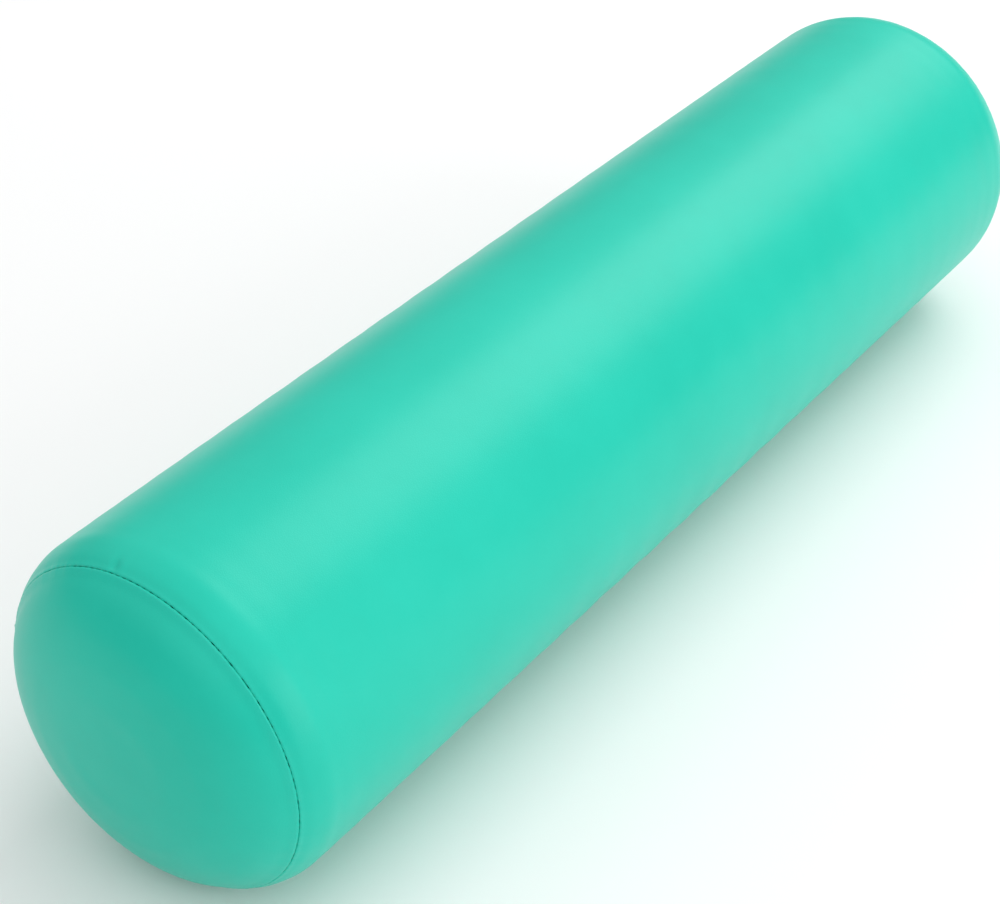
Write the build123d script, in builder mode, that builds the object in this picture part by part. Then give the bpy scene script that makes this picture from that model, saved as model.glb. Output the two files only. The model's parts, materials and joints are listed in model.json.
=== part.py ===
from build123d import *

import os
from math import asin, cos, degrees, floor, radians, sin, tan

# An upholstered massage roll: a foam core wrapped in wadding, inside a sewn
# leatherette cover of one barrel panel and two end discs. The panel's two long
# edges meet at a zip on the back. Millimetres; +X along the roll, +Z up, and
# the origin on the flat that the roll's own weight presses into its underside.

# ---- Driving dimensions ----
overall_length = 600.0         # crown of one end to crown of the other
roll_diameter = 150.0
resting_sag = 1.0              # how far the weight flattens the underside

cover_thickness = 1.2          # knit-backed leatherette
seam_allowance = 7.0           # cloth turned in at each end seam
seam_gap = 0.1                 # between two layers that are sewn face to face
soft_clearance = 0.3           # between soft layers that lie on each other

end_dome_height = 20.0         # end seam's plane to the crown of the disc
end_seam_drop = 4.8            # barrel surface down to the end seam
seam_turn = 35.0               # how far the barrel has rolled over at the seam
knuckle_radius = 42.5          # the disc rolls on from there at this radius

wadding_thickness = 7.5
core_short_of_seam = 4.0       # core's flat end inside the plane of the end seam
core_corner_radius = 20.0

thread_radius = 0.3
seam_stitch_depth = 1.8        # stitch line in from the fold of the end seam
topstitch_pitch = 3.5
topstitch_length = 2.8
topstitch_inset = 3.0          # from the folded edge of the zip opening

zip_angle = 12.0               # above the horizontal, on the back of the roll
zip_opening_length = 510.0
zip_opening_width = 12.0
hem_width = 12.0
tape_length = 524.0
tape_width = 14.3              # each tape
tape_thickness = 0.5
chain_length = 500.0
coil_width = 2.5               # each coil
coil_height = 2.4
chain_gap = 1.4                # slit between the coils, where the wedge runs

slider_length = 10.0
slider_width = 9.2
slider_tail_width = 7.4
plate_thickness = 1.0
flange_thickness = 0.9
wedge_length = 3.0
wedge_offset = 2.6             # wedge ahead of the slider's middle
slider_clearance = 0.3
stop_length = 2.0
bail_bore_length = 2.8
bail_bore_height = 1.8
bail_thickness = 1.1
bail_width = 1.4
pull_pin_radius = 0.6
pull_length = 26.0
pull_width = 7.0
pull_arm_width = 1.3
pull_thickness = 1.1
pull_eye_reach = 3.8           # pin's axis to the far edge of the pull's eye
pull_hole_radius = 1.6

bartack_length = 17.0
bartack_width = 2.0
bartack_height = 0.6

# ---- Sizes that follow ----
roll_radius = roll_diameter / 2
axis_height = roll_radius - resting_sag
seam_x = overall_length / 2 - end_dome_height
seam_radius = roll_radius - end_seam_drop
shoulder_radius = end_seam_drop / (1 - cos(radians(seam_turn)))
shoulder_x = seam_x - shoulder_radius * sin(radians(seam_turn))
shoulder_centre = (shoulder_x, roll_radius - shoulder_radius)
knuckle_start = 90 - seam_turn
knuckle_centre = (
    seam_x - knuckle_radius * cos(radians(knuckle_start)),
    seam_radius - knuckle_radius * sin(radians(knuckle_start)),
)
knuckle_reach = overall_length / 2 - knuckle_centre[0]
crown_radius = (
    knuckle_reach**2 + knuckle_centre[1] ** 2 - knuckle_radius**2
) / (2 * (knuckle_reach - knuckle_radius))
crown_centre_x = overall_length / 2 - crown_radius
knuckle_end = degrees(asin(knuckle_centre[1] / (crown_radius - knuckle_radius)))

# The turned-in edges stand square to the surface, and point at the roll's axis here.
seam_point = Vector(seam_x, seam_radius)
seam_foot = (seam_x - seam_radius * tan(radians(seam_turn)), 0)
fin_inward = Vector(-sin(radians(seam_turn)), -cos(radians(seam_turn)))
fin_to_barrel = Vector(-cos(radians(seam_turn)), sin(radians(seam_turn)))

lining_depth = cover_thickness + soft_clearance
core_radius = roll_radius - lining_depth - wadding_thickness - soft_clearance
core_end_x = seam_x - core_short_of_seam

hem_radius = roll_radius - 2 * cover_thickness - seam_gap
tape_outer = hem_radius - soft_clearance
tape_inner = tape_outer - tape_thickness
coil_floor = tape_outer + soft_clearance / 6
coil_top = coil_floor + coil_height
coil_edge = chain_gap / 2 + coil_width
lower_plate_top = tape_inner - slider_clearance - soft_clearance / 6
lower_plate_bottom = lower_plate_top - plate_thickness
upper_plate_bottom = coil_top + slider_clearance
upper_plate_top = upper_plate_bottom + plate_thickness
slider_x = chain_length / 2 - slider_length / 2
slider_travel = chain_length - slider_length
pull_pin_height = upper_plate_top + bail_bore_height / 2

roll_axis = Axis((0, 0, axis_height), (1, 0, 0))
long_section = Plane(origin=(0, 0, axis_height), x_dir=(1, 0, 0), z_dir=(0, -1, 0))
zip_normal = Vector(0, cos(radians(zip_angle)), sin(radians(zip_angle)))


def zip_cross_section(x):
    """Plane across the roll at x: its own x points out through the zip."""
    return Plane(origin=(x, 0, axis_height), x_dir=zip_normal, z_dir=(1, 0, 0))


def zip_plan(height):
    """Plane lying along the zip, this far out from the roll's axis."""
    origin = Vector(0, 0, axis_height) + zip_normal * height
    return Plane(origin=origin, x_dir=(1, 0, 0), z_dir=zip_normal)


def arc_degrees(distance, radius):
    """Angle of a distance that is measured round a circle."""
    return degrees(distance / radius)


def ring_sector(inner, outer, start, end):
    """Face between two radii and two angles about the roll's axis."""
    with BuildSketch(mode=Mode.PRIVATE) as sector:
        with BuildLine():
            outer_arc = CenterArc((0, 0), outer, start, end - start)
            inner_arc = CenterArc((0, 0), inner, start, end - start)
            Line(outer_arc @ 0, inner_arc @ 0)
            Line(outer_arc @ 1, inner_arc @ 1)
        make_face()
    return sector.sketch


def strip_along_zip(inner, outer, near, far, length):
    """Curved strip beside the zip, between two distances from its middle."""
    with BuildPart(mode=Mode.PRIVATE) as strip:
        with BuildSketch(zip_cross_section(-length / 2)):
            start = arc_degrees(near, outer)
            end = arc_degrees(far, outer)
            add(ring_sector(inner, outer, start, end))
        extrude(amount=length)
    return strip.part


# ---- Long sections of the roll, drawn for its +X end as (x, radius) ----
def barrel_fill(inset):
    """Everything this far under the barrel's surface, back from the end seam."""
    with BuildSketch(mode=Mode.PRIVATE) as fill:
        with BuildLine():
            Polyline((0, 0), (0, roll_radius - inset), (shoulder_x, roll_radius - inset))
            roll = CenterArc(shoulder_centre, shoulder_radius - inset, 90, -seam_turn)
            Polyline(roll @ 1, seam_foot, (0, 0))
        make_face()
    return fill.sketch


def dome_fill(inset):
    """Everything this far under the end disc's surface, on from the end seam."""
    with BuildSketch(mode=Mode.PRIVATE) as fill:
        with BuildLine():
            turn = knuckle_end - knuckle_start
            knuckle = CenterArc(knuckle_centre, knuckle_radius - inset, knuckle_start, turn)
            crown = CenterArc((crown_centre_x, 0), crown_radius - inset, knuckle_end, -knuckle_end)
            Polyline(crown @ 1, seam_foot, knuckle @ 0)
        make_face()
    return fill.sketch


def core_fill(grow):
    """The foam core's own section, grown by a clearance."""
    with BuildSketch(mode=Mode.PRIVATE) as fill:
        with BuildLine():
            corner = (core_end_x - core_corner_radius, core_radius - core_corner_radius)
            Polyline((0, 0), (0, core_radius + grow), (corner[0], core_radius + grow))
            edge = CenterArc(corner, core_corner_radius + grow, 90, -90)
            Polyline(edge @ 1, ((edge @ 1).X, 0), (0, 0))
        make_face()
    return fill.sketch


def seam_strip(start, end, near, far):
    """Strip along the turned-in edges, between two depths and two sides."""
    with BuildSketch(mode=Mode.PRIVATE) as strip:
        with BuildLine():
            corners = [
                seam_point + fin_inward * start + fin_to_barrel * near,
                seam_point + fin_inward * end + fin_to_barrel * near,
                seam_point + fin_inward * end + fin_to_barrel * far,
                seam_point + fin_inward * start + fin_to_barrel * far,
            ]
            Polyline(*corners, close=True)
        make_face()
    return strip.sketch


def wadding_sections():
    """Sections of the barrel's wadding and of an end pad, parted at the seam."""
    half_band = cover_thickness + seam_gap + 2 * thread_radius + soft_clearance
    with BuildSketch(mode=Mode.PRIVATE) as lining:
        add(barrel_fill(lining_depth))
        add(dome_fill(lining_depth))
        add(core_fill(soft_clearance), mode=Mode.SUBTRACT)
        add(seam_strip(-end_seam_drop, core_radius, -half_band, half_band), mode=Mode.SUBTRACT)
    faces = lining.sketch.faces().sort_by(Axis.X)
    return faces[0], faces[-1]


wrap_section, pad_section = wadding_sections()


# ---- Inside: foam core and wadding ----
with BuildPart() as foam_core:
    with BuildSketch(long_section):
        add(core_fill(0))
        mirror(about=Plane.YZ)
    revolve(axis=roll_axis)

# The wadding is pressed flat underneath, and hollowed under the zip: a wide
# bed for the tapes and hems, and a deeper channel for the slider's lower plate.
bed_reach = zip_opening_width / 2 + hem_width + soft_clearance
channel_reach = slider_width / 2 + 2 * soft_clearance
with BuildPart() as wadding_wrap:
    with BuildSketch(long_section):
        add(wrap_section)
        mirror(about=Plane.YZ)
    revolve(axis=roll_axis)
    split(bisect_by=Plane.XY.offset(lining_depth), keep=Keep.TOP)
    add(
        strip_along_zip(
            tape_inner - soft_clearance,
            roll_radius,
            -bed_reach,
            bed_reach,
            tape_length + 2 * soft_clearance,
        ),
        mode=Mode.SUBTRACT,
    )
    add(
        strip_along_zip(
            lower_plate_bottom - slider_clearance,
            roll_radius,
            -channel_reach,
            channel_reach,
            chain_length + 2 * stop_length,
        ),
        mode=Mode.SUBTRACT,
    )


def end_pad():
    """Domed wadding pad between the core's end and the +X end disc."""
    with BuildPart(mode=Mode.PRIVATE) as pad:
        with BuildSketch(long_section):
            add(pad_section)
        revolve(axis=roll_axis)
    return pad.part


with BuildPart() as rear_wadding_pad:
    add(end_pad())

with BuildPart() as front_wadding_pad:
    add(end_pad().mirror(Plane.YZ))


# ---- Cover: barrel panel with its turned-in edges and hemmed zip opening ----
def pressed_barrel(inset):
    """Solid this far under the barrel panel, with its underside pressed flat."""
    with BuildPart(mode=Mode.PRIVATE) as barrel:
        with BuildSketch(long_section):
            add(barrel_fill(inset))
            mirror(about=Plane.YZ)
        revolve(axis=roll_axis)
        split(bisect_by=Plane.XY.offset(inset), keep=Keep.TOP)
    return barrel.part


opening_edge = zip_opening_width / 2
with BuildPart() as barrel_cover:
    add(pressed_barrel(0))
    add(pressed_barrel(cover_thickness), mode=Mode.SUBTRACT)
    with BuildSketch(long_section):
        add(seam_strip(cover_thickness / 2, seam_allowance, 0, cover_thickness))
        mirror(about=Plane.YZ)
    revolve(axis=roll_axis)
    # The panel's long edges are folded under along the zip.
    for side in (-1, 1):
        near = side * opening_edge
        fold = side * (opening_edge + cover_thickness)
        far = side * (opening_edge + hem_width)
        add(strip_along_zip(hem_radius, roll_radius - cover_thickness / 2, near, far, zip_opening_length))
        slit_floor = hem_radius + cover_thickness
        slit = strip_along_zip(slit_floor, slit_floor + seam_gap, fold, far + side, zip_opening_length)
        add(slit, mode=Mode.SUBTRACT)
    with BuildSketch(zip_plan(tape_inner)):
        Rectangle(zip_opening_length, zip_opening_width)
    extrude(amount=roll_radius - tape_inner + cover_thickness, mode=Mode.SUBTRACT)


# ---- Cover: domed end discs ----
def end_disc():
    """Domed disc for the +X end, with its edge turned in against the barrel's."""
    with BuildPart(mode=Mode.PRIVATE) as disc:
        with BuildSketch(long_section):
            add(dome_fill(0))
            add(dome_fill(cover_thickness), mode=Mode.SUBTRACT)
            add(seam_strip(0, cover_thickness, -seam_gap, 0), mode=Mode.SUBTRACT)
            far = seam_gap + cover_thickness
            add(seam_strip(cover_thickness / 2, seam_allowance, -far, -seam_gap))
        revolve(axis=roll_axis)
    return disc.part


with BuildPart() as rear_end_disc:
    add(end_disc())

with BuildPart() as front_end_disc:
    add(end_disc().mirror(Plane.YZ))


# ---- End seams: needle and bobbin threads, one each side of the turned-in edges ----
def seam_thread():
    """The two threads of the +X seam, each lying in a ring along the stitch line."""
    seat = thread_radius + seam_gap / 2
    stitch_line = seam_point + fin_inward * seam_stitch_depth
    needle = stitch_line + fin_to_barrel * (cover_thickness + seat)
    bobbin = stitch_line - fin_to_barrel * (cover_thickness + seam_gap + seat)
    with BuildPart(mode=Mode.PRIVATE) as thread:
        with BuildSketch(long_section):
            with Locations((needle.X, needle.Y), (bobbin.X, bobbin.Y)):
                Circle(thread_radius)
        revolve(axis=roll_axis)
    return thread.part


with BuildPart() as rear_seam_thread:
    add(seam_thread())

with BuildPart() as front_seam_thread:
    add(seam_thread().mirror(Plane.YZ))


# ---- Zip: tapes, coils and stops ----
def zip_tape(side):
    """Woven tape sewn under one hem."""
    near = side * chain_gap / 2
    far = side * (chain_gap / 2 + tape_width)
    return strip_along_zip(tape_inner, tape_outer, near, far, tape_length)


def zip_coil(side):
    """Envelope of one nylon coil, lying on its tape's inner edge."""
    with BuildPart(mode=Mode.PRIVATE) as coil:
        with BuildSketch(zip_cross_section(-chain_length / 2)):
            with Locations((coil_floor + coil_height / 2, side * (chain_gap + coil_width) / 2)):
                RectangleRounded(coil_height, coil_width, coil_height / 3)
        extrude(amount=chain_length)
    return coil.part


with BuildPart() as zip_tape_upper:
    add(zip_tape(1))

with BuildPart() as zip_tape_lower:
    add(zip_tape(-1))

with BuildPart() as zip_coil_upper:
    add(zip_coil(1))

with BuildPart() as zip_coil_lower:
    add(zip_coil(-1))

stop_x = chain_length / 2 + slider_clearance + stop_length / 2
with BuildPart() as zip_top_stops:
    with BuildSketch(zip_plan(coil_floor)):
        for side in (-1, 1):
            with Locations((stop_x, side * (chain_gap + coil_width) / 2)):
                RectangleRounded(stop_length, coil_width, stop_length / 4)
    extrude(amount=coil_height)

with BuildPart() as zip_bottom_stop:
    with BuildSketch(zip_plan(coil_floor)):
        with Locations((-stop_x, 0)):
            RectangleRounded(stop_length, 2 * coil_edge, stop_length / 4)
    extrude(amount=coil_height)


# ---- Zip: slider and pull ----
def slider_plate(height):
    """One plate of the slider, widest ahead of its middle, like an arrow."""
    half_length = slider_length / 2
    with BuildPart(mode=Mode.PRIVATE) as plate:
        with BuildSketch(zip_plan(height)):
            with BuildLine():
                Polyline(
                    (slider_x - half_length, slider_tail_width / 2),
                    (slider_x, slider_width / 2),
                    (slider_x + half_length, slider_width / 2),
                    (slider_x + half_length, -slider_width / 2),
                    (slider_x, -slider_width / 2),
                    (slider_x - half_length, -slider_tail_width / 2),
                    close=True,
                )
            make_face()
            fillet(vertices(), radius=slider_width / 8)
        extrude(amount=plate_thickness)
    return plate.part


with BuildPart() as zip_slider_body:
    add(slider_plate(lower_plate_bottom))
    add(slider_plate(upper_plate_bottom))
    # The wedge joins the plates, and parts the coils as the slider opens them.
    with BuildSketch(zip_plan(lower_plate_top)):
        with Locations((slider_x + wedge_offset, 0)):
            Rectangle(wedge_length, chain_gap - 2 * slider_clearance)
    extrude(amount=upper_plate_bottom - lower_plate_top)
    # Flanges keep the coils under the upper plate.
    flange_floor = tape_outer + slider_clearance
    with BuildSketch(zip_plan(flange_floor)):
        for side in (-1, 1):
            with Locations((slider_x + slider_length / 5, side * (slider_width - flange_thickness) / 2)):
                Rectangle(slider_length / 2, flange_thickness)
    extrude(amount=upper_plate_bottom - flange_floor)
    # The bail is an arch along the zip that holds the pull's pin.
    bail_section = Plane(
        origin=zip_plan(upper_plate_top).from_local_coords((slider_x, 0, 0)),
        x_dir=(1, 0, 0),
        z_dir=-zip_plan(0).y_dir,
    )
    with BuildSketch(bail_section):
        bail_height = bail_bore_height + bail_thickness
        with Locations((0, bail_height / 2)):
            Rectangle(bail_bore_length + 2 * bail_thickness, bail_height)
        fillet(vertices().group_by(Axis.Y)[-1], radius=bail_thickness * 1.4)
        with Locations((0, bail_bore_height / 2)):
            Rectangle(bail_bore_length, bail_bore_height, mode=Mode.SUBTRACT)
    extrude(amount=bail_width / 2, both=True)

with BuildPart() as zip_pull_tab:
    with BuildSketch(zip_plan(pull_pin_height - pull_thickness / 2)):
        with Locations((slider_x - pull_length / 2, 0)):
            RectangleRounded(pull_length, pull_width, pull_width / 3)
        eye_width = bail_width + 2 * slider_clearance
        with Locations((slider_x - pull_eye_reach / 2, 0)):
            Rectangle(pull_eye_reach, pull_width, mode=Mode.SUBTRACT)
        for side in (-1, 1):
            with Locations((slider_x - pull_eye_reach / 2, side * (eye_width + pull_arm_width) / 2)):
                Rectangle(pull_eye_reach + pull_arm_width / 2, pull_arm_width)
        with Locations((slider_x - pull_length + pull_width / 2, 0)):
            Circle(pull_hole_radius, mode=Mode.SUBTRACT)
    extrude(amount=pull_thickness)
    pin_length = eye_width + 2 * pull_arm_width
    pin_plane = Plane(
        origin=zip_plan(pull_pin_height).from_local_coords((slider_x, 0, 0)),
        x_dir=(1, 0, 0),
        z_dir=zip_plan(0).y_dir,
    )
    with BuildSketch(pin_plane):
        Circle(pull_pin_radius)
    extrude(amount=pin_length / 2, both=True)


# ---- Stitching round the zip opening ----
with BuildPart(mode=Mode.PRIVATE) as stitch:
    Cylinder(thread_radius, topstitch_length, rotation=(0, 90, 0))


def topstitch(side):
    """Row of stitches through one hem and the tape below it."""
    count = floor((zip_opening_length - topstitch_pitch) / topstitch_pitch)
    turn = radians(arc_degrees(side * (opening_edge + topstitch_inset), roll_radius))
    seat_radius = roll_radius + thread_radius + seam_gap / 2
    plane = zip_cross_section(0)
    spots = []
    for i in range(count):
        x = (i - (count - 1) / 2) * topstitch_pitch
        spots.append(plane.from_local_coords((seat_radius * cos(turn), seat_radius * sin(turn), x)))
    with BuildPart(mode=Mode.PRIVATE) as row:
        with Locations(*spots):
            add(stitch.part)
    return row.part


with BuildPart() as zip_topstitch_upper:
    add(topstitch(1))

with BuildPart() as zip_topstitch_lower:
    add(topstitch(-1))


def bartack(x):
    """Dense bar of stitches that closes one end of the zip opening."""
    floor_radius = roll_radius + seam_gap / 2
    with BuildPart(mode=Mode.PRIVATE) as bar:
        with BuildSketch(zip_cross_section(x - bartack_width / 2)):
            reach = arc_degrees(bartack_length / 2, roll_radius)
            add(ring_sector(floor_radius, floor_radius + bartack_height, -reach, reach))
        extrude(amount=bartack_width)
        fillet(edges().filter_by(Axis.X), radius=bartack_height / 3)
    return bar.part


bartack_x = zip_opening_length / 2 + bartack_width
with BuildPart() as rear_bartack:
    add(bartack(bartack_x))

with BuildPart() as front_bartack:
    add(bartack(-bartack_x))


# ---- Label and export ----
pieces = {
    "foam_core": foam_core,
    "wadding_wrap": wadding_wrap,
    "front_wadding_pad": front_wadding_pad,
    "rear_wadding_pad": rear_wadding_pad,
    "barrel_cover": barrel_cover,
    "front_end_disc": front_end_disc,
    "rear_end_disc": rear_end_disc,
    "front_seam_thread": front_seam_thread,
    "rear_seam_thread": rear_seam_thread,
    "zip_tape_upper": zip_tape_upper,
    "zip_tape_lower": zip_tape_lower,
    "zip_coil_upper": zip_coil_upper,
    "zip_coil_lower": zip_coil_lower,
    "zip_top_stops": zip_top_stops,
    "zip_bottom_stop": zip_bottom_stop,
    "zip_slider_body": zip_slider_body,
    "zip_pull_tab": zip_pull_tab,
    "zip_topstitch_upper": zip_topstitch_upper,
    "zip_topstitch_lower": zip_topstitch_lower,
    "front_bartack": front_bartack,
    "rear_bartack": rear_bartack,
}

os.makedirs("parts", exist_ok=True)
for name, piece in pieces.items():
    piece.part.label = name
    export_step(piece.part, f"parts/{name}.step")
    box = piece.part.bounding_box()
    print(f"{name:22s} {len(piece.part.solids()):4d} solids {piece.part.volume:12.2f} mm3", end=" ")
    print(f"x {box.min.X:8.2f} {box.max.X:8.2f}  y {box.min.Y:7.2f} {box.max.Y:7.2f}", end=" ")
    print(f"z {box.min.Z:7.2f} {box.max.Z:7.2f}")

pin_origin = zip_plan(pull_pin_height).from_local_coords((slider_x, 0, 0))
print("zip slide travel", slider_travel, "pull pin at", tuple(pin_origin), "about", tuple(zip_plan(0).y_dir))
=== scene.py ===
# %% [markdown]
# # A massage bolster, from the stuffing to the zip
# The real thing is a foam roll wrapped in wadding, pulled into a tube of
# leatherette that is a little too tight for it. Two round discs close the ends.
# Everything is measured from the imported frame, so each piece lands where the
# solid model has it.

# %% Load the frame and note its box
import json
import math

import bpy
import numpy as np
from mathutils import Matrix, Vector


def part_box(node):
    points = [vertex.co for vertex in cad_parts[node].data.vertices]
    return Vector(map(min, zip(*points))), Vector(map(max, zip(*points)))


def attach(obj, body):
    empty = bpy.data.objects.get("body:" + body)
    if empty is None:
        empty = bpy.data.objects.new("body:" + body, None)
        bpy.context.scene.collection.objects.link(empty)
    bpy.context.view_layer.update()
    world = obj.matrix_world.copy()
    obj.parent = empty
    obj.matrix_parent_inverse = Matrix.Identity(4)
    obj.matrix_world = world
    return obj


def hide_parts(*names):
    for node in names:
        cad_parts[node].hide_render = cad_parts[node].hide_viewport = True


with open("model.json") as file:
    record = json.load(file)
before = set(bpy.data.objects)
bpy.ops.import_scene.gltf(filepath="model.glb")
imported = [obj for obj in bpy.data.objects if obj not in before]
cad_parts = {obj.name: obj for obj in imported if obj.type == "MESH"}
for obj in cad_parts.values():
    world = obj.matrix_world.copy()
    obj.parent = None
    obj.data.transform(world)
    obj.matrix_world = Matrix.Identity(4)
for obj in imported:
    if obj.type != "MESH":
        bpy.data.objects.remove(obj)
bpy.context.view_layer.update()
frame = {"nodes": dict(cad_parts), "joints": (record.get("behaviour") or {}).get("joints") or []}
joints = {joint["name"]: joint for joint in frame["joints"]}

# %% [markdown]
# ## The camera first
# The roll is seen from above its front end, with a longish lens so that the
# far end hardly shrinks. The camera is placed from the crown of the front disc:
# so far back along the view, so far to one side. That keeps the place readable
# and ties it to the object, not to the room.

# %% Place the camera from the front crown
barrel_low, barrel_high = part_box("barrel_cover")
_, disc_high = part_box("rear_end_disc")
roll_radius = (barrel_high.y - barrel_low.y) / 2
axis_z = barrel_high.z - roll_radius
seam_x = barrel_high.x
seam_radius = roll_radius - 0.0048
crown_x = disc_high.x

heading = math.radians(36.012)       # of the view, from the roll's own length
pitch = math.radians(35.934)         # down from level
crown_ahead, crown_left, crown_below = 0.77878, 0.13854, 0.11141

ahead = Vector((math.cos(pitch) * math.cos(heading), math.cos(pitch) * math.sin(heading), -math.sin(pitch)))
right = Vector((math.sin(heading), -math.cos(heading), 0))
up = right.cross(ahead)
front_crown = Vector((-crown_x, 0, axis_z))

lens = bpy.data.cameras.new("studio_camera")
lens.sensor_width = 36
lens.lens = 78.17
camera = bpy.data.objects.new("studio_camera", lens)
camera.location = front_crown - ahead * crown_ahead + right * crown_left + up * crown_below
camera.rotation_euler = Matrix((right, up, -ahead)).transposed().to_euler()
bpy.context.collection.objects.link(camera)
bpy.context.scene.camera = camera
print("camera at", tuple(round(c, 3) for c in camera.location))

# %% [markdown]
# ## Floor and light
# A pale sweep and very soft light suit a satin cover: big lamps give long, quiet
# highlights. The sky does most of the work, bright overhead and dim near the
# horizon, so that the barrel's far edge doesn't mirror it. A high lamp beyond the
# far end draws the highlight along the top, a low one lifts the barrel's side, and
# a faint one lifts the near end.

# %% Lay the floor and hang the lights
floor_drop = 0.0002
floor_mesh = bpy.data.meshes.new("floor")
half = 4.0
corners = [(x, y, -floor_drop) for x, y in ((-half, -half), (half, -half), (half, half), (-half, half))]
floor_mesh.from_pydata(corners, [], [(0, 1, 2, 3)])
floor = bpy.data.objects.new("floor", floor_mesh)
bpy.context.collection.objects.link(floor)

floor_paint = bpy.data.materials.new("floor_paint")
floor_paint.use_nodes = True
floor_shader = floor_paint.node_tree.nodes["Principled BSDF"]
floor_shader.inputs["Base Color"].default_value = (0.9, 0.9, 0.9, 1)
floor_shader.inputs["Roughness"].default_value = 0.9
floor_mesh.materials.append(floor_paint)

sky = bpy.data.worlds.new("studio_sky")
sky.use_nodes = True
sky_light = sky.node_tree.nodes["Background"]
direction = sky.node_tree.nodes.new("ShaderNodeTexCoord")
height = sky.node_tree.nodes.new("ShaderNodeSeparateXYZ")
sky.node_tree.links.new(direction.outputs["Generated"], height.inputs[0])
brightness = sky.node_tree.nodes.new("ShaderNodeMapRange")
brightness.interpolation_type = "SMOOTHSTEP"
brightness.inputs["From Max"].default_value = 0.8
brightness.inputs["To Min"].default_value = 0.24
brightness.inputs["To Max"].default_value = 0.98
sky.node_tree.links.new(height.outputs["Z"], brightness.inputs["Value"])
sky.node_tree.links.new(brightness.outputs[0], sky_light.inputs["Strength"])
sky_light.inputs["Color"].default_value = (1, 1, 1, 1)
bpy.context.scene.world = sky


def soft_lamp(name, place, target, size, watts):
    """A square soft lamp that faces a point."""
    data = bpy.data.lights.new(name, "AREA")
    data.shape = "SQUARE"
    data.size = size
    data.energy = watts
    lamp = bpy.data.objects.new(name, data)
    lamp.location = place
    lamp.rotation_euler = (Vector(target) - Vector(place)).to_track_quat("-Z", "Y").to_euler()
    bpy.context.collection.objects.link(lamp)
    return lamp


soft_lamp("overhead_lamp", (1.7, -0.3, 2.0), (0.0, 0.0, 0.07), 1.7, 24)
soft_lamp("side_lamp", (0.3, -2.6, 0.9), (0.0, 0.0, 0.07), 1.8, 24)
soft_lamp("front_fill", (-2.3, -0.9, 1.2), (0.0, 0.0, 0.07), 1.8, 3)
bpy.context.scene.view_settings.view_transform = "Standard"

# %% [markdown]
# ## Finishes are node trees
# A finish is a handful of patterns that feed one shader. Writing them by hand
# needs two small tools: one that adds a node and fills its sockets, and one that
# starts a group. A group is a pattern with named dials, so leatherette, thread
# and nylon can share it at their own scales.

# %% Tools for node trees
def node(tree, kind, sockets=(), **settings):
    """Add a node, set its properties, then give its sockets values or links."""
    made = tree.nodes.new(kind)
    for key, value in settings.items():
        setattr(made, key, value)
    for key, value in dict(sockets).items():
        if isinstance(value, bpy.types.NodeSocket):
            tree.links.new(value, made.inputs[key])
        else:
            made.inputs[key].default_value = value
    return made


def math_node(tree, operation, first, second=0.0):
    """The result of one sum."""
    return node(tree, "ShaderNodeMath", {0: first, 1: second}, operation=operation).outputs[0]


def new_group(name, dials, result):
    """Start a group with number dials and one number coming out."""
    group = bpy.data.node_groups.new(name, "ShaderNodeTree")
    for label, value in dials.items():
        group.interface.new_socket(label, in_out="INPUT", socket_type="NodeSocketFloat").default_value = value
    group.interface.new_socket(result, in_out="OUTPUT", socket_type="NodeSocketFloat")
    place = node(group, "ShaderNodeTexCoord").outputs["Object"]
    return group, group.nodes.new("NodeGroupInput").outputs, group.nodes.new("NodeGroupOutput").inputs, place


# %% [markdown]
# ## Patterns that the finishes share
# Mottle is the soft unevenness of dye and handling, one broad cloud with a finer
# one over it. Pebble is embossed grain: cells with rounded tops and narrow
# creases between them. Twist is the slanting rope pattern of spun thread, and
# fuzz is loose fibre.

# %% Mottle, pebble, twist and fuzz
mottle, dial, out, place = new_group("mottle", {"Size": 0.05, "Fine Share": 0.35}, "Mask")
broad = node(mottle, "ShaderNodeTexNoise", {"Vector": place, "Detail": 2.0})
mottle.links.new(math_node(mottle, "DIVIDE", 1.0, dial["Size"]), broad.inputs["Scale"])
fine = node(mottle, "ShaderNodeTexNoise", {"Vector": place, "Detail": 3.0, "Roughness": 0.6})
mottle.links.new(math_node(mottle, "DIVIDE", 7.0, dial["Size"]), fine.inputs["Scale"])
share = math_node(mottle, "MULTIPLY", math_node(mottle, "SUBTRACT", fine.outputs[0], 0.5), dial["Fine Share"])
mottle.links.new(math_node(mottle, "ADD", broad.outputs[0], share), out["Mask"])

pebble, dial, out, place = new_group("pebble", {"Size": 0.001, "Crease": 0.15}, "Height")
warp = node(pebble, "ShaderNodeTexNoise", {"Vector": place, "Scale": 900.0})
nudge = (0.0004, 0.0004, 0.0004)
shaken = node(pebble, "ShaderNodeVectorMath", {0: warp.outputs[1], 1: nudge}, operation="MULTIPLY")
moved = node(pebble, "ShaderNodeVectorMath", {0: place, 1: shaken.outputs[0]}, operation="ADD")
cells = node(pebble, "ShaderNodeTexVoronoi", {"Vector": moved.outputs[0]}, feature="DISTANCE_TO_EDGE")
pebble.links.new(math_node(pebble, "DIVIDE", 1.0, dial["Size"]), cells.inputs["Scale"])
tops = node(pebble, "ShaderNodeMapRange", {"Value": cells.outputs[0]}, interpolation_type="SMOOTHSTEP")
pebble.links.new(dial["Crease"], tops.inputs["From Max"])
pebble.links.new(tops.outputs[0], out["Height"])

twist, dial, out, place = new_group("twist", {"Pitch": 0.0006, "Slant": 0.8}, "Height")
along = node(twist, "ShaderNodeTexWave", {"Vector": place, "Detail": 1.0}, bands_direction="DIAGONAL")
twist.links.new(math_node(twist, "DIVIDE", 0.31, dial["Pitch"]), along.inputs["Scale"])
twist.links.new(dial["Slant"], along.inputs["Distortion"])
twist.links.new(along.outputs[1], out["Height"])

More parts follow.
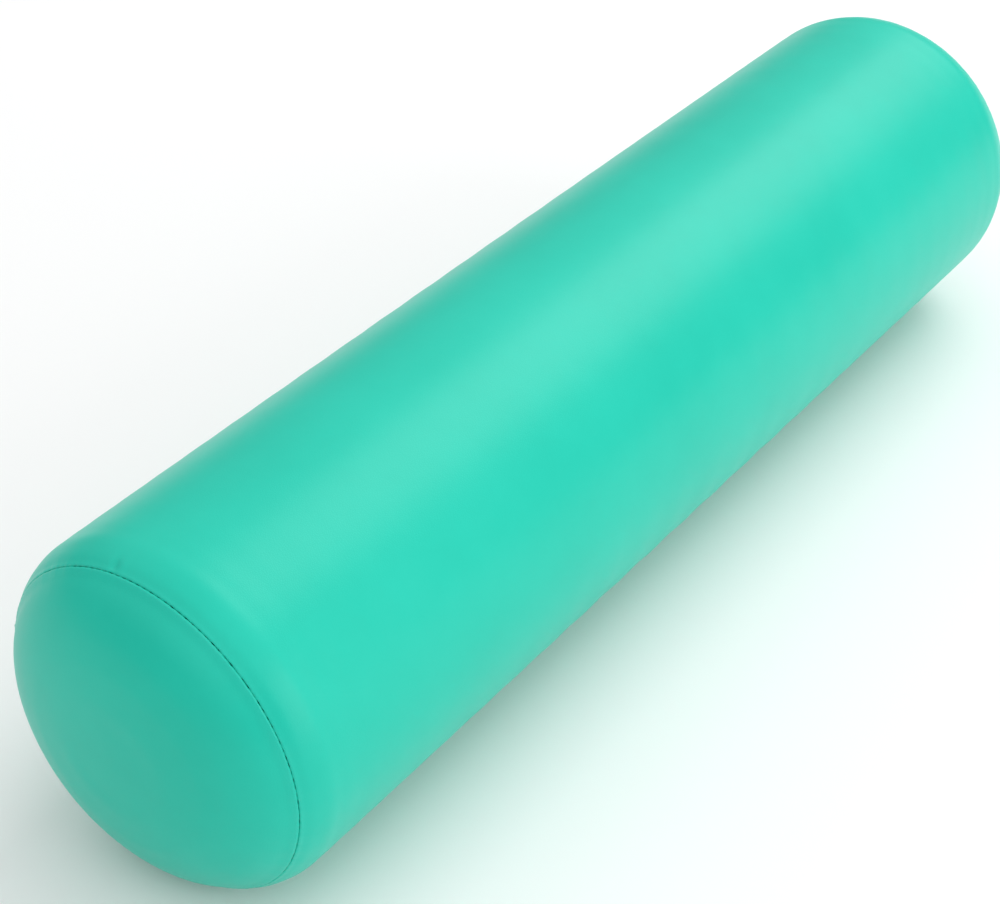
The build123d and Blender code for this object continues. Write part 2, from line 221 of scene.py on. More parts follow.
fuzz, dial, out, place = new_group("fuzz", {"Length": 0.004, "Stretch": 9.0}, "Height")
lanes = node(fuzz, "ShaderNodeCombineXYZ", {0: 1.0, 1: dial["Stretch"], 2: dial["Stretch"]})
drawn = node(fuzz, "ShaderNodeVectorMath", {0: place, 1: lanes.outputs[0]}, operation="MULTIPLY")
strands = node(fuzz, "ShaderNodeTexNoise", {"Vector": drawn.outputs[0], "Detail": 6.0, "Distortion": 1.2})
fuzz.links.new(math_node(fuzz, "DIVIDE", 1.0, dial["Length"]), strands.inputs["Scale"])
fuzz.links.new(strands.outputs[0], out["Height"])
print("patterns", sorted(group.name for group in bpy.data.node_groups))


# %% Start a finish
class Finish:
    """One material, with its shader and the helpers that feed it."""

    def __init__(self, name, **constants):
        self.material = bpy.data.materials.new(name)
        self.material.use_nodes = True
        self.tree = self.material.node_tree
        self.shader = self.tree.nodes["Principled BSDF"]
        for label, value in constants.items():
            self.shader.inputs[label.replace("_", " ")].default_value = value

    def pattern(self, group, **dials):
        """Place a shared pattern with its own dials, and give back what it puts out."""
        placed = self.tree.nodes.new("ShaderNodeGroup")
        placed.node_tree = group
        for label, value in dials.items():
            placed.inputs[label.replace("_", " ")].default_value = value
        return placed.outputs[0]

    def colours(self, mask, *stops):
        """Colours along a mask, as (place, colour) stops."""
        ramp = node(self.tree, "ShaderNodeValToRGB", {0: mask})
        band = ramp.color_ramp
        band.elements[0].position, band.elements[1].position = stops[0][0], stops[-1][0]
        band.elements[0].color, band.elements[1].color = (*stops[0][1], 1), (*stops[-1][1], 1)
        for place, colour in stops[1:-1]:
            band.elements.new(place).color = (*colour, 1)
        return ramp.outputs[0]

    def between(self, mask, low, high):
        """A number that runs from low to high as a mask runs from 0 to 1."""
        return node(self.tree, "ShaderNodeMapRange", {0: mask, 3: low, 4: high}).outputs[0]

    def mixed(self, share, first, second):
        """Two colours mixed by a share."""
        mix = node(self.tree, "ShaderNodeMix", {0: share, 6: first, 7: second}, data_type="RGBA")
        return mix.outputs[2]

    def feed(self, label, socket):
        """Link a pattern to a socket of the shader."""
        self.tree.links.new(socket, self.shader.inputs[label])

    def relief(self, height, depth, under=None):
        """Bump of a real depth in metres, laid over an earlier bump."""
        bump = node(self.tree, "ShaderNodeBump", {"Height": height, "Distance": depth, "Strength": 1.0})
        if under:
            self.tree.links.new(under, bump.inputs["Normal"])
        return bump.outputs[0]


# %% [markdown]
# ## Leatherette
# The cover is a soft vinyl on a knit back, bright sea green, with a satin skin.
# Its colour drifts a little as rolled cloth does, its embossed grain is finer
# than a millimetre, and the folds along the end seams are rubbed: slightly
# paler and smoother than the rest.

# %% Mix the leatherette
leatherette = Finish("sea_green_leatherette", Specular_IOR_Level=0.24, Coat_Roughness=0.35)
drift = leatherette.pattern(mottle, Size=0.09, Fine_Share=0.30)
grain = leatherette.pattern(pebble, Size=0.0009, Crease=0.22)
spot = node(leatherette.tree, "ShaderNodeTexCoord").outputs["Object"]
spot_x = node(leatherette.tree, "ShaderNodeSeparateXYZ", {0: spot}).outputs[0]
from_fold = math_node(leatherette.tree, "SUBTRACT", math_node(leatherette.tree, "ABSOLUTE", spot_x), seam_x)
from_fold = math_node(leatherette.tree, "ABSOLUTE", from_fold)
fading = {0: from_fold, 1: 0.0, 2: 0.0022, 3: 0.35, 4: 0.0}
rubbed = node(leatherette.tree, "ShaderNodeMapRange", fading).outputs[0]
sea_greens = (0.30, (0.010, 0.530, 0.394)), (0.50, (0.011, 0.55, 0.41)), (0.72, (0.013, 0.565, 0.424))
dye = leatherette.colours(drift, *sea_greens)
pale = leatherette.colours(grain, (0.0, (0.020, 0.58, 0.44)), (1.0, (0.030, 0.62, 0.48)))
leatherette.feed("Base Color", leatherette.mixed(rubbed, dye, pale))
skin_rough = leatherette.between(drift, 0.32, 0.40)
polish = math_node(leatherette.tree, "MULTIPLY", rubbed, 0.25)
leatherette.feed("Roughness", math_node(leatherette.tree, "SUBTRACT", skin_rough, polish))
leatherette.feed("Coat Weight", leatherette.between(drift, 0.0, 0.06))
uneven = leatherette.relief(leatherette.pattern(mottle, Size=0.012, Fine_Share=0.2), 0.00004)
leatherette.feed("Normal", leatherette.relief(grain, 0.000012, uneven))

# %% [markdown]
# ## Foam, wadding and thread
# Inside is a cut block of open-cell foam, cream, with painted shade darkening its
# pores. Wadding is a tangle of white polyester fibre, so its relief is drawn out
# along the roll, and painted grey shade lies between its strands. The sewing
# thread is dyed to match the cover. Its ply shows as slanting ribs, with painted
# shade in the grooves between them.

# %% Mix the soft finishes
foam = Finish("cream_foam", Subsurface_Weight=0.15, Subsurface_Scale=0.004, Specular_IOR_Level=0.25)
cell_wall = foam.pattern(pebble, Size=0.0016, Crease=0.5)
yellowing = foam.pattern(mottle, Size=0.11, Fine_Share=0.5)
aged = foam.colours(yellowing, (0.3, (0.80, 0.74, 0.56)), (0.7, (0.88, 0.84, 0.71)))
# The dark end of this ramp sits in the creases between cells: painted shade in the pores.
creams_and_pore_shade = (0.0, (0.42, 0.37, 0.26)), (0.35, (0.85, 0.80, 0.66)), (1.0, (0.88, 0.84, 0.71))
pore_shade = foam.colours(cell_wall, *creams_and_pore_shade)
foam.feed("Base Color", foam.mixed(0.5, aged, pore_shade))
foam.feed("Roughness", foam.between(yellowing, 0.88, 0.97))
foam.feed("Normal", foam.relief(cell_wall, 0.0003, foam.relief(yellowing, 0.0005)))

wadding = Finish("white_wadding", Specular_IOR_Level=0.2, Sheen_Weight=0.5, Sheen_Roughness=0.6)
fibre = wadding.pattern(fuzz, Length=0.012, Stretch=7.0)
clump = wadding.pattern(mottle, Size=0.03, Fine_Share=0.8)
# Grey where the fibre pattern is low: painted shade between the strands.
whites_and_fibre_shade = (0.25, (0.68, 0.69, 0.69)), (0.6, (0.88, 0.88, 0.87)), (0.9, (0.94, 0.94, 0.93))
wadding.feed("Base Color", wadding.colours(fibre, *whites_and_fibre_shade))
wadding.feed("Roughness", wadding.between(clump, 0.85, 0.98))
wadding.feed("Normal", wadding.relief(fibre, 0.0009, wadding.relief(clump, 0.0012)))

thread = Finish("sea_green_thread", Specular_IOR_Level=0.45, Sheen_Weight=0.35, Sheen_Roughness=0.4)
ply = thread.pattern(twist, Pitch=0.0007, Slant=0.8)
strand = thread.pattern(fuzz, Length=0.0015, Stretch=4.0)
# Dark where the ply pattern is low: painted shade in the grooves between plies.
ply_greens_and_groove_shade = (0.1, (0.012, 0.30, 0.22)), (0.6, (0.025, 0.49, 0.36)), (0.95, (0.05, 0.57, 0.44))
thread.feed("Base Color", thread.colours(ply, *ply_greens_and_groove_shade))
thread.feed("Roughness", thread.between(strand, 0.42, 0.66))
thread.feed("Normal", thread.relief(ply, 0.00006, thread.relief(strand, 0.00002)))

# %% [markdown]
# ## The zip's finishes
# The tape is a close plain weave, with painted shade where its yarns dip. The coil is
# dyed nylon with a soft gloss, and the slider, pull and stops are nickel-plated:
# brushed along the chain, with duller patches where fingers have been.

# %% Mix the zip's finishes
tape_finish = Finish("sea_green_zip_tape", Specular_IOR_Level=0.3, Sheen_Weight=0.25, Sheen_Roughness=0.5)
tilt = node(tape_finish.tree, "ShaderNodeTexCoord").outputs["Object"]
square_to_tape = {"Vector": tilt, "Rotation": (-math.radians(12), 0, 0)}
flat = node(tape_finish.tree, "ShaderNodeMapping", square_to_tape).outputs[0]
warp_yarn = {"Vector": flat, "Scale": 420.0, "Distortion": 0.4}
weft_yarn = {"Vector": flat, "Scale": 520.0, "Distortion": 0.4}
warp_ends = node(tape_finish.tree, "ShaderNodeTexWave", warp_yarn, bands_direction="X")
weft_picks = node(tape_finish.tree, "ShaderNodeTexWave", weft_yarn, bands_direction="Z")
over_under = math_node(tape_finish.tree, "MULTIPLY", warp_ends.outputs[1], weft_picks.outputs[1])
fade = tape_finish.pattern(mottle, Size=0.03, Fine_Share=0.6)
# Dark where warp and weft both dip: painted shade between the yarns.
tape_greens_and_weave_shade = (0.0, (0.010, 0.26, 0.19)), (0.35, (0.020, 0.40, 0.30)), (1.0, (0.036, 0.50, 0.38))
dyed_and_weave_shade = tape_finish.colours(over_under, *tape_greens_and_weave_shade)
washed = tape_finish.colours(fade, (0.3, (0.016, 0.36, 0.27)), (0.7, (0.030, 0.46, 0.35)))
tape_finish.feed("Base Color", tape_finish.mixed(0.4, dyed_and_weave_shade, washed))
tape_finish.feed("Roughness", tape_finish.between(fade, 0.68, 0.84))
tape_finish.feed("Normal", tape_finish.relief(over_under, 0.00007))

nylon = Finish("sea_green_nylon", Specular_IOR_Level=0.5, Subsurface_Weight=0.08, Subsurface_Scale=0.001)
cast = nylon.pattern(mottle, Size=0.02, Fine_Share=0.5)
drawn_lines = nylon.pattern(fuzz, Length=0.0012, Stretch=6.0)
nylon.feed("Base Color", nylon.colours(cast, (0.3, (0.016, 0.40, 0.30)), (0.7, (0.030, 0.50, 0.38))))
nylon.feed("Roughness", nylon.between(drawn_lines, 0.24, 0.42))
nylon.feed("Normal", nylon.relief(drawn_lines, 0.00001))

nickel = Finish("brushed_nickel", Metallic=1.0, Specular_IOR_Level=0.5)
brushing = nickel.pattern(fuzz, Length=0.006, Stretch=24.0)
touched = nickel.pattern(mottle, Size=0.006, Fine_Share=0.7)
nickels = (0.3, (0.50, 0.48, 0.45)), (0.55, (0.64, 0.62, 0.59)), (0.8, (0.72, 0.71, 0.69))
nickel.feed("Base Color", nickel.colours(touched, *nickels))
dulled = math_node(nickel.tree, "MULTIPLY", brushing, touched)
nickel.feed("Roughness", nickel.between(dulled, 0.18, 0.62))
nickel.feed("Normal", nickel.relief(brushing, 0.000015, nickel.relief(touched, 0.00001)))
finishes = {
    "leatherette": leatherette,
    "foam": foam,
    "wadding": wadding,
    "thread": thread,
    "zip_tape": tape_finish,
    "zip_coil": nylon,
    "zip_metal": nickel,
}
print("finishes", sorted(finish.material.name for finish in finishes.values()))

# %% [markdown]
# ## The outline of the cover
# Both halves of the cover are turned on one axis, so a side view of half the
# roll says almost everything. I walk that outline the way a pattern cutter
# would describe it: go straight for so long, turn this much at this radius.
# The barrel rolls over a shoulder, and the disc rolls on from there into its
# shallow crown. Where they meet, both are folded square into the roll.


# %% Walk the two outlines
def walk(start, direction, steps, spacing=0.0002):
    """Points along straight runs and arcs: each step is a length and a turn."""
    place = np.array(start, float)
    angle = direction
    points = [place.copy()]
    for length, turn in steps:
        count = max(2, int(round(length / spacing)))
        for _ in range(count):
            angle += turn / count / 2
            place = place + np.array([math.cos(angle), math.sin(angle)]) * length / count
            angle += turn / count / 2
            points.append(place.copy())
    return np.array(points)


seam_turn = math.radians(35)          # how far the barrel has rolled over at the seam
inward = 1.5 * math.pi - seam_turn    # heading of the turned-in edges
fold_radius = 0.0008
fold_gap = 0.00004
turned_in = 0.0062

shoulder_radius = (roll_radius - seam_radius) / (1 - math.cos(seam_turn))
rolled = seam_turn - (fold_radius + fold_gap) / shoulder_radius
folded = 2 * math.pi - inward - rolled
barrel_steps = [
    (seam_x - shoulder_radius * math.sin(seam_turn), 0),
    (shoulder_radius * rolled, -rolled),
    (fold_radius * folded, -folded),
    (turned_in, 0),
]
barrel_outline = walk((0, roll_radius), 0, barrel_steps)
barrel_reach = sum(length for length, _ in barrel_steps[:3])

knuckle_radius = 0.0425
knuckle_reach = crown_x - seam_x + knuckle_radius * math.sin(seam_turn)
knuckle_rise = seam_radius - knuckle_radius * math.cos(seam_turn)
knuckle_offset = knuckle_reach**2 + knuckle_rise**2
crown_radius = (knuckle_offset - knuckle_radius**2) / (2 * (knuckle_reach - knuckle_radius))
crown_turn = math.asin(knuckle_rise / (crown_radius - knuckle_radius))
knuckle_turn = math.pi / 2 - seam_turn - crown_turn - (fold_radius + fold_gap) / knuckle_radius
disc_fold = inward - math.pi / 2 - crown_turn - knuckle_turn
disc_steps = [
    (crown_radius * crown_turn, crown_turn),
    (knuckle_radius * knuckle_turn, knuckle_turn),
    (fold_radius * disc_fold, disc_fold),
    (turned_in, 0),
]
disc_outline = walk((crown_x, 0), math.pi / 2, disc_steps)
disc_reach = sum(length for length, _ in disc_steps[:3])
print("middle to seam %.1f mm, crown to seam %.1f mm" % (barrel_reach * 1000, disc_reach * 1000))
print("folds end", np.round(barrel_outline[-1] * 1000, 2), np.round(disc_outline[-1] * 1000, 2))


def on_outline(outline, steps, distance):
    """Place and outward normal at a distance along an outline."""
    lengths = np.r_[0, np.cumsum(np.linalg.norm(np.diff(outline, axis=0), axis=1))]
    along = lengths * sum(length for length, _ in steps) / lengths[-1]
    place = np.stack([np.interp(distance, along, outline[:, k]) for k in (0, 1)], -1)
    slope = np.gradient(outline, along, axis=0)
    tangent = np.stack([np.interp(distance, along, slope[:, k]) for k in (0, 1)], -1)
    tangent /= np.linalg.norm(tangent, axis=-1, keepdims=True)
    return place, tangent


def barrel_at(distance):
    """Place and normal on the barrel, for a signed distance from its middle."""
    place, tangent = on_outline(barrel_outline, barrel_steps, np.abs(distance))
    side = np.where(distance < 0, -1.0, 1.0)
    normal = np.stack([-tangent[..., 1] * side, tangent[..., 0]], -1)
    place[..., 0] *= side
    return place, normal


def disc_at(distance, side):
    """Place and normal on an end disc, for a distance from its crown."""
    place, tangent = on_outline(disc_outline, disc_steps, distance)
    normal = np.stack([tangent[..., 1] * side, -tangent[..., 0]], -1)
    place[..., 0] *= side
    return place, normal


def spin(place, angle):
    """Turn (x, radius) round the roll's axis to points in space."""
    x, radius = place[..., 0], place[..., 1]
    return np.stack([x + 0 * angle, radius * np.cos(angle), axis_z + radius * np.sin(angle)], -1)


# %% [markdown]
# ## Let the stuffing push the cover tight
# A tight cover still isn't a perfect tube: the wadding pushes it out between the
# end seams, which hold it in. That is what a cloth simulation is for. A closed
# skin starts slightly small, its two seam rings are pinned, and pressure swells
# it. I keep only how far each point moved, as a smooth field that can be
# sampled anywhere, so the final mesh can be as fine as it needs to be.

# %% Build the skin to inflate
stitches = 136                        # in each end seam, about 3 mm apart
barrel_rows = 60
disc_rows = 12
slack = 0.0001
travel_cap = 0.0022


def barrel_row_distance(row):
    """Rows crowd together towards the seams."""
    v = 2 * row / barrel_rows - 1
    return barrel_reach * (1.4 * v - 0.4 * v**3)


def disc_row_distance(row):
    """Rows crowd together towards the rim."""
    w = 1 - row / disc_rows
    return disc_reach * (1 - 0.6 * w - 0.4 * w**2)


sim_angles = np.arange(stitches) * 2 * math.pi / stitches


def skin_rings():
    """Rings from the front crown to the rear one, each as (x, radius)."""
    front, _ = disc_at(disc_row_distance(np.arange(1, disc_rows)), -1)
    barrel, _ = barrel_at(barrel_row_distance(np.arange(barrel_rows + 1)))
    rear, _ = disc_at(disc_row_distance(np.arange(disc_rows - 1, 0, -1)), 1)
    return np.concatenate([front, barrel, rear])


def inflate():
    """Cloth under pressure, pinned at both seams: returns how far each point moved."""
    rings = skin_rings()
    seam_rings = (disc_rows - 1, disc_rows - 1 + barrel_rows)
    base = spin(rings[:, None, :], sim_angles[None, :])
    start = rings.copy()
    start[:, 1] -= slack
    for ring in seam_rings:
        start[ring] = rings[ring]
    grid = spin(start[:, None, :], sim_angles[None, :])
    count = len(rings)
    faces = []
    for i in range(count - 1):
        for j in range(stitches):
            k = (j + 1) % stitches
            faces.append((i * stitches + j, i * stitches + k, (i + 1) * stitches + k, (i + 1) * stitches + j))
    poles = [(-crown_x, 0, axis_z), (crown_x, 0, axis_z)]
    first, last = count * stitches, count * stitches + 1
    for j in range(stitches):
        k = (j + 1) % stitches
        faces.append((first, k, j))
        faces.append((last, (count - 1) * stitches + j, (count - 1) * stitches + k))
    mesh = bpy.data.meshes.new("inflating_skin")
    mesh.from_pydata(np.concatenate([grid.reshape(-1, 3), poles]).tolist(), [], faces)
    skin = bpy.data.objects.new("inflating_skin", mesh)
    bpy.context.collection.objects.link(skin)
    sewn = skin.vertex_groups.new(name="sewn")
    for ring in seam_rings:
        sewn.add(list(range(ring * stitches, (ring + 1) * stitches)), 1.0, "REPLACE")
    cloth = skin.modifiers.new("pressure", "CLOTH").settings
    cloth.quality = 6
    cloth.mass = 0.003
    cloth.use_pressure = True
    cloth.uniform_pressure_force = 62
    cloth.tension_stiffness = 15
    cloth.compression_stiffness = 15
    cloth.shear_stiffness = 8
    cloth.bending_stiffness = 2
    cloth.vertex_group_mass = "sewn"
    cloth.effector_weights.gravity = 0
    scene = bpy.context.scene
    for step in range(1, 21):
        scene.frame_set(step)
    evaluated = skin.evaluated_get(bpy.context.evaluated_depsgraph_get())
    moved = np.empty(len(mesh.vertices) * 3)
    evaluated.data.vertices.foreach_get("co", moved)
    moved = moved.reshape(-1, 3)[: count * stitches].reshape(count, stitches, 3)
    scene.frame_set(1)
    bpy.data.objects.remove(skin)
    shift = moved - base
    out = np.stack([0 * sim_angles, np.cos(sim_angles), np.sin(sim_angles)], -1)
    around = np.stack([0 * sim_angles, -np.sin(sim_angles), np.cos(sim_angles)], -1)
    shift = np.stack([shift[..., 0], (shift * out).sum(-1), (shift * around).sum(-1)], -1)
    size = np.linalg.norm(shift, axis=-1, keepdims=True)
    return shift * np.minimum(1, travel_cap / np.maximum(size, 1e-9))


swell = inflate()
for seam_ring in (disc_rows - 1, disc_rows - 1 + barrel_rows):
    swell[seam_ring] = 0
print("cover moved out by up to %.2f mm" % (swell[..., 1].max() * 1000))

# %% [markdown]
# ## Read the swell back as a smooth field
# The ripples round the roll are taken out of the result, then each part of the
# cover reads its own rows. A Catmull-Rom blend passes through every row and keeps
# the slope even, so no rows show.

# %% Sample the field anywhere
def calmed(field, waves=3):
    """Keep the slow waves round the roll: a taut cover shows no ripples."""
    orders = np.fft.rfft(field, axis=1)
    orders[:, waves + 1:] = 0
    return np.fft.irfft(orders, field.shape[1], axis=1)


swell = calmed(swell)
front_swell = np.concatenate([swell[:1].mean(1, keepdims=True).repeat(stitches, 1), swell[:disc_rows]])
barrel_swell = swell[disc_rows - 1:disc_rows + barrel_rows]
rear_swell = np.concatenate([swell[-disc_rows:], swell[-1:].mean(1, keepdims=True).repeat(stitches, 1)])[::-1]


def blend_weights(t):
    """Catmull-Rom weights of the four nearest samples."""
    return (
        -0.5 * t + t**2 - 0.5 * t**3,
        1 - 2.5 * t**2 + 1.5 * t**3,
        0.5 * t + 2 * t**2 - 1.5 * t**3,
        -0.5 * t**2 + 0.5 * t**3,
    )


def sample(field, row, angle):
    """Read a field of rows by angles at any row and any angle."""
    rows, cols = field.shape[:2]
    row, col = np.broadcast_arrays(row, (angle / (2 * math.pi)) % 1 * cols)
    i = np.clip(np.floor(row).astype(int), 0, rows - 2)
    j = np.floor(col).astype(int)
    total = np.zeros(row.shape + (3,))
    for a, row_weight in enumerate(blend_weights(row - i)):
        for b, col_weight in enumerate(blend_weights(col - j)):
            value = field[np.clip(i + a - 1, 0, rows - 1), (j + b - 1) % cols]
            total += (row_weight * col_weight)[..., None] * value
    return total


def row_of(distance, row_distance, rows):
    """Which row lies at a distance, by reading its table backwards."""
    table = np.linspace(0, rows, 2000)
    return np.interp(distance, row_distance(table), table)


# %% [markdown]
# ## Small things that a needle does
# Each stitch pinches the edge, and easing a flat disc into a tube gathers it
# here and there. Both die away within a few millimetres. One deeper pinch sits
# near the top of the front seam, where the machinist started and finished.

# %% Gathers, stitch pinches and the start of the seam
gather_waves = np.random.default_rng(7)
gather_terms = [(int(n), gather_waves.uniform(0, 2 * math.pi), gather_waves.uniform(0.4, 1))
                for n in gather_waves.integers(17, 63, 9)]
start_angle = math.radians(81)


def gathers(angle):
    """Uneven waves round a seam, between about -1 and 1."""
    return sum(a * np.sin(n * angle + phase) for n, phase, a in gather_terms) / 4


def needle_marks(from_seam, angle, side, on_barrel):
    """How far the surface stands out near a seam, in metres."""
    near = np.maximum(from_seam, 0)
    pinch = 0.00009 * np.cos(stitches * angle) * np.exp(-near / 0.0012)
    gathered = 0.00010 * gathers(angle + side) * np.exp(-near / 0.005)
    out = pinch + gathered
    if side < 0 and on_barrel:
        across = (angle - start_angle) * seam_radius
        along = near - 0.0035
        out = out - 0.00055 * np.exp(-(across / 0.0013) ** 2 - (along / 0.0022) ** 2)
        out = out + 0.00022 * np.exp(-((across - 0.0034) / 0.0016) ** 2 - (along / 0.0032) ** 2)
        out = out + 0.00016 * np.exp(-((across + 0.0036) / 0.0018) ** 2 - (along / 0.0032) ** 2)
    return out


def press_flat(points):
    """The roll's weight presses its underside on to the floor, softly."""
    height = points[..., 2]
    softness = 0.0004
    points[..., 2] = (height + np.sqrt(height**2 + softness**2)) / 2
    return points


def skin(place, normal, angle, shift, marks, depth):
    """Finished points of the cover from an outline, a swell and the small marks."""
    rise = (marks - depth)[..., None] * normal
    moved = place + shift[..., :2] + rise
    return press_flat(spin(moved, angle + shift[..., 2] / roll_radius))


def barrel_points(distance, angle, depth):
    """Barrel surface at signed distances from the middle, this deep below it."""
    distance, angle, depth = np.broadcast_arrays(distance, angle, depth)
    place, normal = barrel_at(distance)
    held = np.clip(distance, -barrel_reach, barrel_reach)
    shift = sample(barrel_swell, row_of(held, barrel_row_distance, barrel_rows), angle)
    from_seam = barrel_reach - np.abs(distance)
    marks = np.where(
        distance < 0,
        needle_marks(from_seam, angle, -1, True),
        needle_marks(from_seam, angle, 1, True),
    )
    return skin(place, normal, angle, shift, marks, depth)


def disc_points(distance, angle, side):
    """End disc surface at distances from its crown."""
    distance, angle = np.broadcast_arrays(distance, angle)
    place, normal = disc_at(distance, side)
    field = front_swell if side < 0 else rear_swell
    held = np.minimum(distance, disc_reach)
    shift = sample(field, row_of(held, disc_row_distance, disc_rows), angle)
    marks = needle_marks(disc_reach - distance, angle, side, False)
    return skin(place, normal, angle, shift, marks, 0 * marks)


# %% [markdown]
# ## Meshes from rows
# Cloth that was cut from a roll is best meshed in rows, like its weave. Rows
# near a seam need twice the points of rows in the middle, so the builder may
# halve the count between two rows with a band of triangles.


# %% Build a mesh from rows of points
class Rows:
    """Collects rows of points, and joins each to the one before it."""

    def __init__(self, closed):
        self.closed = closed
        self.points = []
        self.faces = []
        self.last = None

    def add(self, row):
        """Lay one more row, as long as the last, or half or twice its length."""
        start = len(self.points)
        self.points.extend(row.tolist())
        ids = list(range(start, start + len(row)))
        if self.closed:
            ids.append(ids[0])
        if self.last is not None:
            self.join(self.last, ids)
        self.last = ids

    def join(self, before, after):
        """Quads between equal rows, and three triangles at each doubled edge."""
        if len(before) == len(after):
            for i in range(len(after) - 1):
                self.faces.append((before[i], before[i + 1], after[i + 1], after[i]))
        elif len(after) > len(before):
            for i in range(len(before) - 1):
                a, b = before[i], before[i + 1]
                c, d, e = after[2 * i:2 * i + 3]
                self.faces += [(a, d, c), (a, b, d), (b, e, d)]
        else:
            for i in range(len(after) - 1):
                a, b = after[i], after[i + 1]
                c, d, e = before[2 * i:2 * i + 3]
                self.faces += [(c, d, a), (d, b, a), (d, e, b)]


def make_piece(name, points, faces, body, slot, replaced=(), thickness=0.0):
    """Turn points and faces into a smooth piece that rides on a body."""
    mesh = bpy.data.meshes.new(name)
    mesh.from_pydata([tuple(p) for p in points], [], faces)
    mesh.validate()
    mesh.shade_smooth()
    mesh.materials.append(finishes[slot].material)
    piece = bpy.data.objects.new(name, mesh)
    bpy.context.collection.objects.link(piece)
    if thickness:
        wall = piece.modifiers.new("cloth_thickness", "SOLIDIFY")
        wall.thickness = thickness
        wall.offset = -1
        apply_modifiers(piece)
    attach(piece, body)
    if replaced:
        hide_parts(*replaced)
    return piece


def facing_out(points, faces):
    """The same faces, turned over if most of them look at the roll's middle."""
    corners = np.array([[points[i] for i in face[:3]] for face in faces])
    normals = np.cross(corners[:, 1] - corners[:, 0], corners[:, 2] - corners[:, 0])
    outward = corners.mean(1) - np.array([0, 0, axis_z])
    if (normals * outward).sum() > 0:
        return faces
    return [face[::-1] for face in faces]


def apply_modifiers(piece):
    """Replace a piece's mesh with its modified one."""
    graph = bpy.context.evaluated_depsgraph_get()
    finished = bpy.data.meshes.new_from_object(piece.evaluated_get(graph))
    piece.modifiers.clear()
    piece.data = finished


# %% [markdown]
# ## The barrel panel
# The panel is one rectangle, rolled so that its two long edges meet at the zip.
# Each edge is folded under, so the opening shows two round folds with the zip
# between them. Past the ends of the zip the folds close up and run on to the
# end seams. I lay the panel out as rows across the roll, and let each row know
# how wide the opening is at its place.

# %% Where the zip is, and how wide its opening is
pull_pin = Vector(joints["zip_pull_flip"]["pos_m"])
pull_hinge = Vector(joints["zip_pull_flip"]["axis"])
zip_angle = math.atan2(pull_hinge.y, -pull_hinge.z)
coil_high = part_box("zip_coil_upper")[1]
bartack_low, bartack_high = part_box("rear_bartack")
opening_end = (bartack_low.x + coil_high.x) / 2 + 0.0015
opening_half = 0.006
closed_half = 0.00012
hem_fold = 0.00125
hem_width = 0.012


def opening_at(x):
    """Half the gap between the two folds, wide along the zip and shut past it."""
    shut = np.clip((np.abs(x) - opening_end + 0.006) / 0.010, 0, 1)
    shut = shut * shut * (3 - 2 * shut)
    return opening_half + (closed_half - opening_half) * shut


def hem_columns(fine):
    """Each column as (share round the roll, share round the fold, share of hem)."""
    step = 1 if fine else 2
    lower = [(0.0, 1.0, h) for h in (1.0, 0.5)] + [(0.0, a / 8, 0.0) for a in range(8, 0, -1)]
    upper = [(1.0, a / 8, 0.0) for a in range(1, 9)] + [(1.0, 1.0, h) for h in (0.5, 1.0)]
    middle = [(i / (4 * stitches), 0.0, 0.0) for i in range(4 * stitches + 1)]
    return np.array(lower + middle + upper)[::step]


def panel_row(distance, fine):
    """One row of points across the barrel, from one hem round to the other."""
    share, fold, hem = hem_columns(fine).T
    place, _ = barrel_at(np.array(distance))
    from_seam = barrel_reach - abs(distance)
    radius = hem_fold * np.clip(from_seam / 0.012, 0.15, 1)
    width = (hem_width - 2 * radius) * np.clip(from_seam / 0.02, 0.1, 1)
    half_gap = opening_at(place[0])
    bend = fold * math.pi
    from_middle = half_gap + radius - radius * np.sin(bend) + hem * width
    depth = radius * (1 - np.cos(bend))
    edge = (half_gap + radius) / roll_radius
    round_roll = zip_angle + edge + share * (2 * math.pi - 2 * edge)
    beside_zip = np.where(share < 0.5, zip_angle + from_middle / roll_radius,
                          zip_angle + 2 * math.pi - from_middle / roll_radius)
    angle = np.where((share > 0) & (share < 1), round_roll, beside_zip)
    return barrel_points(np.full(len(angle), distance), angle, depth)


def graded(start, stop, first, growth, largest):
    """Places from start to stop whose spacing grows from a first step."""
    places = [start]
    step = first
    while places[-1] < stop:
        places.append(places[-1] + step)
        step = min(step * growth, largest)
    scale = (stop - start) / (places[-1] - start)
    return [start + (p - start) * scale for p in places]


# %% Lay the barrel panel
fine_zone = 0.016
inside_rows = [-turned_in, -0.004, -0.002, -0.001, -0.0004]
fine_rows = inside_rows + graded(0, fine_zone, 0.00025, 1.18, 0.0012)
coarse_rows = graded(fine_zone, barrel_reach, 0.0014, 1.15, 0.006)[1:]
panel = Rows(closed=False)
for from_seam in fine_rows:
    panel.add(panel_row(from_seam - barrel_reach, True))
for from_seam in coarse_rows:
    panel.add(panel_row(from_seam - barrel_reach, False))
for from_seam in coarse_rows[-2::-1]:
    panel.add(panel_row(barrel_reach - from_seam, False))
for from_seam in fine_rows[::-1]:
    panel.add(panel_row(barrel_reach - from_seam, True))
cloth_thickness = 0.0007
panel_faces = facing_out(panel.points, panel.faces)
barrel_panel = make_piece(
    "barrel_panel", panel.points, panel_faces, "roll", "leatherette", ["barrel_cover"], cloth_thickness
)
print("barrel panel has", len(barrel_panel.data.polygons), "faces")

# %% [markdown]
# ## The end discs
# A round of cloth meshed like a spider's web bunches up at its middle. Instead
# the middle is a square grid bent into rings: every ring out from the centre
# has eight more points than the last, all the faces are near square, and the
# outer ring hands over to plain rows at the knuckle.

# %% Lay a disc
rings = stitches // 4
web_reach = disc_steps[0][0] * 0.98


